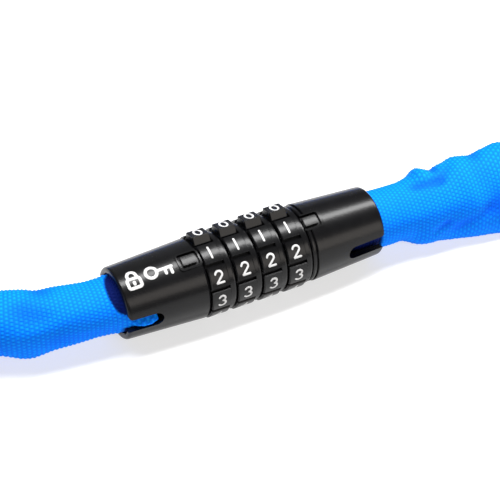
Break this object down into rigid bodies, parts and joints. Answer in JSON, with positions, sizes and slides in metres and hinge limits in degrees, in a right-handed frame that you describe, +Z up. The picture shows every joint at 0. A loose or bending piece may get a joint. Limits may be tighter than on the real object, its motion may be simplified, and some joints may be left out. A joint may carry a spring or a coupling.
{
  "type": "combination chain lock",
  "caption": "Black metal barrel lock with turning digit dials and a pull-out plug, closing a woven fabric sleeved steel chain into a loop.",
  "frame": {"origin": "under the middle of the barrel, on the surface that the lock lies on", "axes": "+X along the barrel from the socket housing to the plug housing, the way the plug pulls out; -Y is the front; +Z is up"},
  "size_m": [0.3824, 0.2834, 0.0295],
  "materials": {
    "housing_black": "gloss",
    "dial_black": "gloss",
    "ring_black": "satin",
    "plated_steel": "satin",
    "pin_steel": "satin",
    "washer_steel": "satin",
    "ferrule_steel": "satin",
    "spring_steel": "satin",
    "code_ring_brass": "satin",
    "chain_steel": "satin",
    "sleeve_fabric": "matte"
  },
  "bodies": {
    "lock_body": {"socket_housing": "housing_black", "core_tube": "plated_steel", "core_pin": "pin_steel", "end_ring": "ring_black", "click_springs": "spring_steel", "code_ring_washers": "washer_steel", "ejector_spring": "spring_steel", "anchor_stud": "plated_steel", "socket_anchor_pin": "pin_steel", "socket_ferrule": "ferrule_steel", "socket_chain": "chain_steel", "socket_sleeve": "sleeve_fabric"},
    "dial_body_1": {"dial_1": "dial_black", "code_ring_1": "code_ring_brass"},
    "dial_body_2": {"dial_2": "dial_black", "code_ring_2": "code_ring_brass"},
    "dial_body_3": {"dial_3": "dial_black", "code_ring_3": "code_ring_brass"},
    "dial_body_4": {"dial_4": "dial_black", "code_ring_4": "code_ring_brass"},
    "plug_body": {"plug_housing": "housing_black", "bolt": "plated_steel", "bolt_pin": "pin_steel", "plug_anchor_pin": "pin_steel", "plug_ferrule": "ferrule_steel", "plug_chain": "chain_steel", "plug_sleeve": "sleeve_fabric"}
  },
  "joints": [
    {"name": "dial_turn_1", "type": "hinge", "parent": "lock_body", "child": "dial_body_1", "pos_m": [-0.01404, 0, 0.01408], "axis": [1, 0, 0], "continuous": true},
    {"name": "dial_turn_2", "type": "hinge", "parent": "lock_body", "child": "dial_body_2", "pos_m": [-0.00451, 0, 0.01408], "axis": [1, 0, 0], "continuous": true},
    {"name": "dial_turn_3", "type": "hinge", "parent": "lock_body", "child": "dial_body_3", "pos_m": [0.00502, 0, 0.01408], "axis": [1, 0, 0], "continuous": true},
    {"name": "dial_turn_4", "type": "hinge", "parent": "lock_body", "child": "dial_body_4", "pos_m": [0.01456, 0, 0.01408], "axis": [1, 0, 0], "continuous": true},
    {"name": "plug_slide", "type": "slide", "parent": "lock_body", "child": "plug_body", "axis": [1, 0, 0], "range_m": [0, 0.042]}
  ]
}
